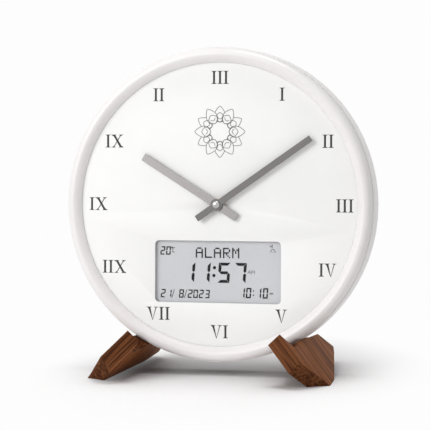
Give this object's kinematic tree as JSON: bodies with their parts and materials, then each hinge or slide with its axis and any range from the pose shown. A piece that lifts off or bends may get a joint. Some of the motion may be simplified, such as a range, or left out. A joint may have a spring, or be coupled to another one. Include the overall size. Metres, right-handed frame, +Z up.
{
  "type": "table clock",
  "caption": "Round table clock with hour and minute hands, a liquid crystal display, a loudspeaker and two notched walnut feet that grip its rim",
  "frame": {"origin": "on the table, centred under the clock", "axes": "+Z up, the dial faces -Y, +X to the right as seen from the front"},
  "size_m": [0.3, 0.1564, 0.3111],
  "materials": {
    "white_plastic": "satin white moulded plastic",
    "dial_white": "matt white",
    "clear_window": "clear acrylic",
    "lcd_glass": "grey reflective liquid crystal display",
    "black_plastic": "black moulded plastic",
    "natural_plastic": "natural acetal",
    "walnut": "oiled walnut, grain along the leg",
    "dark_hand": "dark grey anodised",
    "silver_hand": "brushed silver",
    "cap_chrome": "polished",
    "steel": "plain steel",
    "brass": "plain brass",
    "copper_wire": "enamelled copper winding",
    "black_rubber": "black rubber",
    "grey_rubber": "grey silicone rubber",
    "circuit_board": "green glass laminate",
    "cell_wrap": "plain printed wrap",
    "cone_paper": "black paper"
  },
  "bodies": {
    "case": {"front_bezel": "white_plastic", "rear_housing": "white_plastic", "battery_tray": "white_plastic", "dial_plate": "dial_white", "display_window": "clear_window", "lcd_panel": "lcd_glass", "lcd_frame": "black_plastic", "lcd_connector": "grey_rubber", "main_circuit_board": "circuit_board", "controller_chip": "black_plastic", "left_foot": "walnut", "right_foot": "walnut", "left_foot_screw_1": "steel", "left_foot_screw_2": "steel", "right_foot_screw_1": "steel", "right_foot_screw_2": "steel", "case_screw_1": "steel", "case_screw_2": "steel", "case_screw_3": "steel", "case_screw_4": "steel", "movement_case": "black_plastic", "movement_cover": "natural_plastic", "rubber_washer": "black_rubber", "mounting_nut": "brass", "stator": "steel", "driving_coil": "copper_wire", "movement_circuit_board": "circuit_board", "quartz_crystal": "steel", "movement_cell": "cell_wrap", "movement_plate_contact": "steel", "movement_spring_contact": "steel", "battery_cell_1": "cell_wrap", "battery_cell_2": "cell_wrap", "negative_contact": "steel", "positive_contact": "steel", "bridge_contact": "steel", "speaker_basket": "steel", "speaker_magnet": "steel", "speaker_cone": "cone_paper", "button_membrane": "grey_rubber", "button_board": "circuit_board", "switch_body": "steel"},
    "minute_group": {"minute_hand": "dark_hand", "hand_cap": "cap_chrome", "cannon_pinion": "brass", "centre_wheel": "brass"},
    "hour_group": {"hour_hand": "silver_hand", "hour_wheel": "brass"},
    "minute_wheel_body": {"minute_wheel": "natural_plastic"},
    "third_wheel_body": {"third_wheel": "natural_plastic"},
    "rotor_body": {"rotor": "steel"},
    "setting_knob_body": {"setting_knob": "black_plastic"},
    "button_1": {"push_button_1": "black_plastic"},
    "button_2": {"push_button_2": "black_plastic"},
    "button_3": {"push_button_3": "black_plastic"},
    "button_4": {"push_button_4": "black_plastic"},
    "slider": {"switch_slider": "black_plastic"},
    "cover": {"battery_cover": "white_plastic"}
  },
  "joints": [
    {"name": "minute_hand_turn", "type": "hinge", "parent": "case", "child": "minute_group", "pos_m": [0, 0.00569, 0.16102], "axis": [0, 0.9976, -0.0698], "continuous": true},
    {"name": "hour_hand_turn", "type": "hinge", "parent": "case", "child": "hour_group", "pos_m": [0, 0.00569, 0.16102], "axis": [0, 0.9976, -0.0698], "continuous": true},
    {"name": "minute_wheel_turn", "type": "hinge", "parent": "case", "child": "minute_wheel_body", "pos_m": [0.00819, 0.01003, 0.16573], "axis": [0, 0.9976, -0.0698], "continuous": true},
    {"name": "third_wheel_turn", "type": "hinge", "parent": "case", "child": "third_wheel_body", "pos_m": [-0.00721, 0.01004, 0.16597], "axis": [0, 0.9976, -0.0698], "continuous": true},
    {"name": "rotor_turn", "type": "hinge", "parent": "case", "child": "rotor_body", "pos_m": [-0.0083, 0.01047, 0.17216], "axis": [0, 0.9976, -0.0698], "continuous": true},
    {"name": "setting_knob_turn", "type": "hinge", "parent": "case", "child": "setting_knob_body", "pos_m": [0.01722, 0.01225, 0.16887], "axis": [0, 0.9976, -0.0698], "continuous": true},
    {"name": "button_1_press", "type": "slide", "parent": "case", "child": "button_1", "axis": [0, -0.9976, 0.0698], "range_m": [0, 0.001], "stiffness_N_per_m": 400, "springref_m": -0.0005},
    {"name": "button_2_press", "type": "slide", "parent": "case", "child": "button_2", "axis": [0, -0.9976, 0.0698], "range_m": [0, 0.001], "stiffness_N_per_m": 400, "springref_m": -0.0005},
    {"name": "button_3_press", "type": "slide", "parent": "case", "child": "button_3", "axis": [0, -0.9976, 0.0698], "range_m": [0, 0.001], "stiffness_N_per_m": 400, "springref_m": -0.0005},
    {"name": "button_4_press", "type": "slide", "parent": "case", "child": "button_4", "axis": [0, -0.9976, 0.0698], "range_m": [0, 0.001], "stiffness_N_per_m": 400, "springref_m": -0.0005},
    {"name": "switch_slide", "type": "slide", "parent": "case", "child": "slider", "axis": [1, 0, 0], "range_m": [0, 0.004]},
    {"name": "battery_cover_slide", "type": "slide", "parent": "case", "child": "cover", "axis": [0, 0.9976, -0.0698], "range_m": [0, 0.03]}
  ],
  "couplings": [
    {"joint": "hour_hand_turn", "follows": "minute_hand_turn", "ratio": 0.083333},
    {"joint": "minute_wheel_turn", "follows": "minute_hand_turn", "ratio": -0.33333},
    {"joint": "third_wheel_turn", "follows": "minute_hand_turn", "ratio": -10},
    {"joint": "rotor_turn", "follows": "minute_hand_turn", "ratio": 60},
    {"joint": "setting_knob_turn", "follows": "minute_hand_turn", "ratio": 1}
  ]
}
